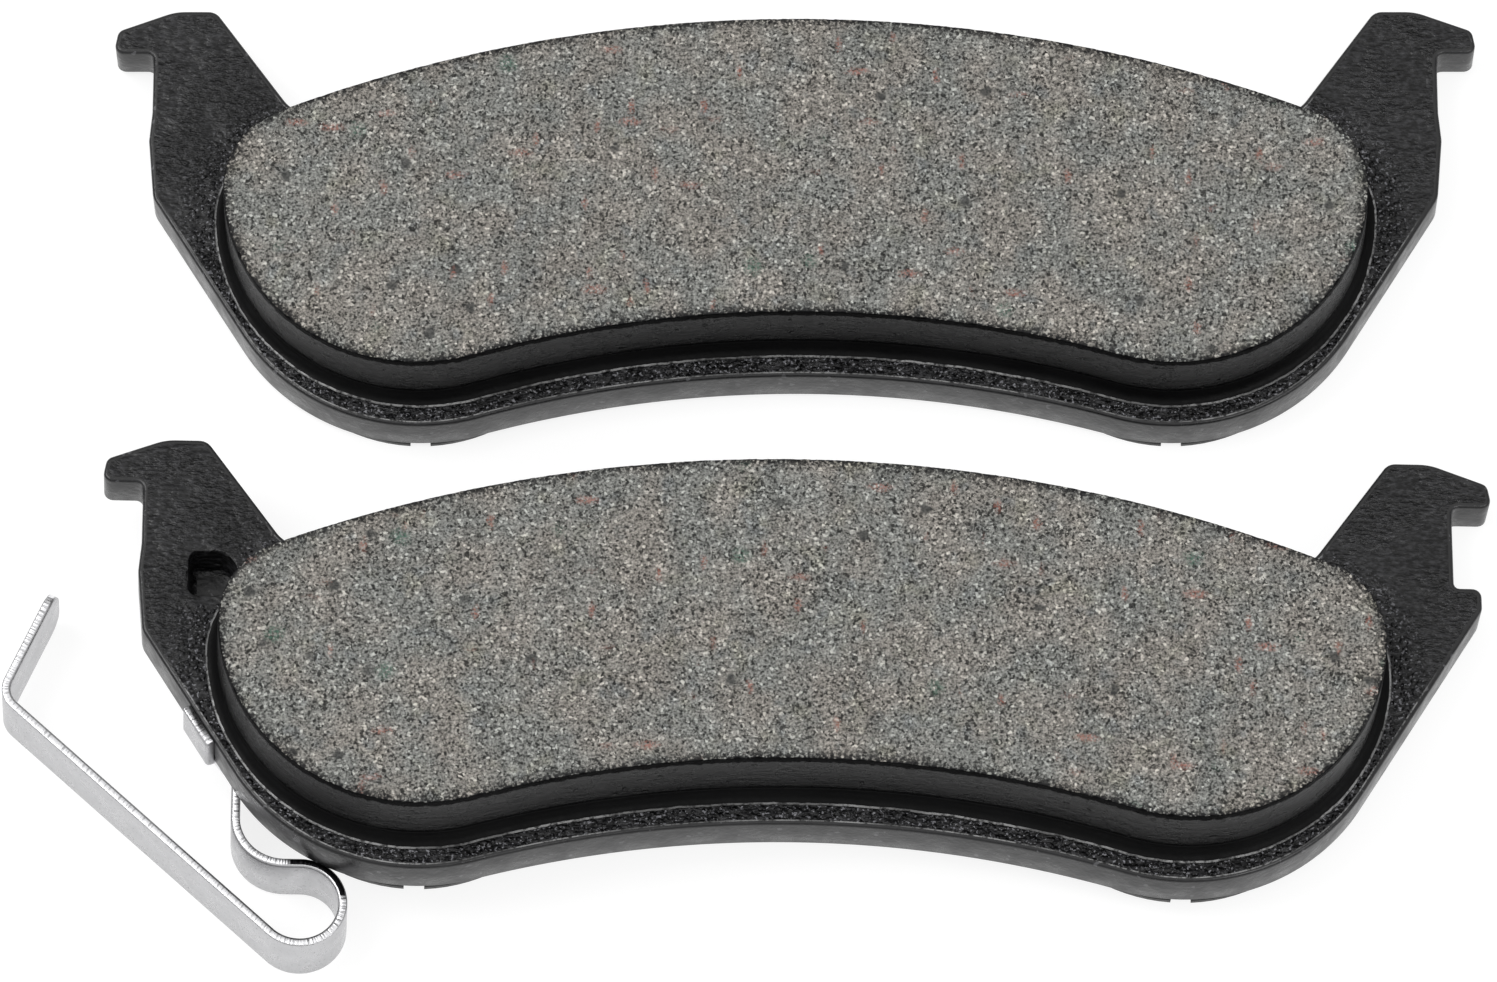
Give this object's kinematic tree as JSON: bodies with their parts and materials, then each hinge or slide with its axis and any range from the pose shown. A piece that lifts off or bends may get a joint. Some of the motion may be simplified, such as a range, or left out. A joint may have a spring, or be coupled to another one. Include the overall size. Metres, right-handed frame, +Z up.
{
  "type": "brake pad set",
  "caption": "Matched pair of moulded kidney-shaped disc brake pads on hooked steel backing plates, the inboard one with a flat spring-steel retaining clip.",
  "frame": {"origin": "middle of the set's bounding box in plan, on the plane that the pads lie on", "axes": "+X along the pads, +Y outward from the wheel's axis, +Z up through the friction faces"},
  "size_m": [0.162, 0.1124, 0.0221],
  "materials": {
    "plate_paint": "satin black paint with a fine orange-peel",
    "underlayer": "moulded and painted black",
    "friction_compound": "ground face, speckled grey and taupe",
    "damping_rubber": "matte",
    "shim_steel": "satin black coating",
    "spring_steel": "bright zinc plating with sheared edges"
  },
  "bodies": {
    "outboard_pad": {"outboard_backing_plate": "plate_paint", "outboard_underlayer": "underlayer", "outboard_friction_lining": "friction_compound", "outboard_damping_layer": "damping_rubber", "outboard_shim": "shim_steel"},
    "inboard_pad": {"inboard_backing_plate": "plate_paint", "inboard_underlayer": "underlayer", "inboard_friction_lining": "friction_compound", "inboard_damping_layer": "damping_rubber", "inboard_shim": "shim_steel", "retaining_spring_base": "spring_steel"},
    "spring_arm": {"retaining_spring_arm": "spring_steel"}
  },
  "joints": [
    {"name": "inboard_lift", "type": "slide", "parent": "outboard_pad", "child": "inboard_pad", "axis": [0, 0, 1], "range_m": [0, 0.04]},
    {"name": "spring_flex", "type": "hinge", "parent": "inboard_pad", "child": "spring_arm", "pos_m": [-0.04835, -0.05088, 0.00432], "axis": [-0.0474, -0.0445, -0.9979], "range_deg": [0, 10], "stiffness_Nm_per_rad": 1}
  ]
}
